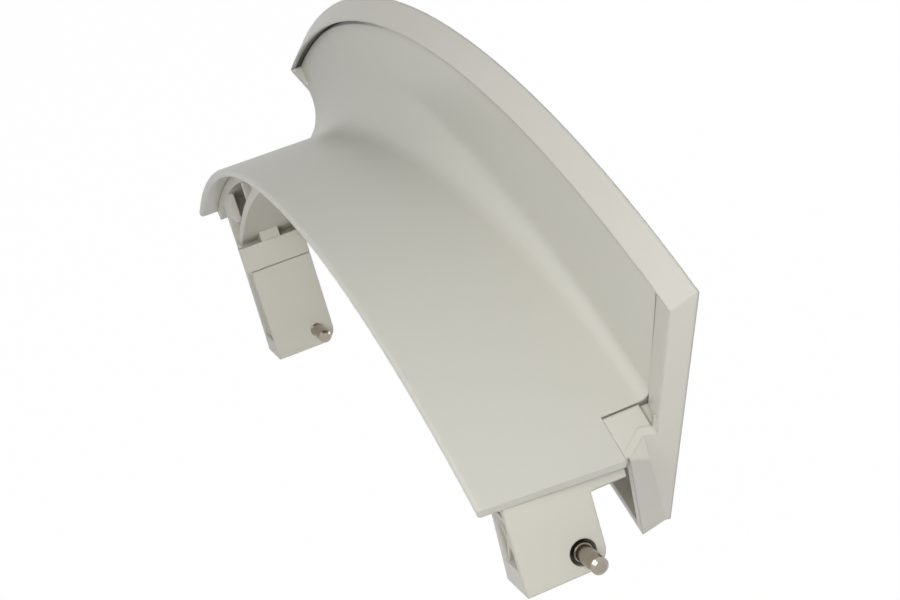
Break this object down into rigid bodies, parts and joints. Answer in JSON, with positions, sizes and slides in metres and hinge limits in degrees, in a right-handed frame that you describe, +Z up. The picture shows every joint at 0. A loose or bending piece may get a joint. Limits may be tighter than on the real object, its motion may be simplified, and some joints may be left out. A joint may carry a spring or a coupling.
{
  "type": "washing machine door handle",
  "caption": "Bow-shaped door handle of a front-loading washing machine: bevelled cover, deep arched finger recess, and a lever frame whose arms carry steel hinge pins.",
  "frame": {"origin": "on the axis of the two hinge pins, where the long arm's pin leaves the arm's flat face", "axes": "+X along the hinge pins from the long arm to the short arm, +Y from the open side of the finger recess to the front of the door, +Z up, from the pins to the arch"},
  "size_m": [0.2728, 0.0473, 0.116],
  "materials": {
    "cover_plastic": "smooth satin-gloss moulded plastic, warm white",
    "liner_plastic": "smooth satin-gloss moulded plastic, warm white",
    "frame_plastic": "satin moulded plastic, warm white",
    "pin_steel": "turned steel with bright chamfered ends"
  },
  "bodies": {
    "root": {"front_cover": "cover_plastic", "grip_liner": "liner_plastic", "lever_frame": "frame_plastic", "long_arm_pin": "pin_steel", "short_arm_pin": "pin_steel"}
  },
  "joints": []
}
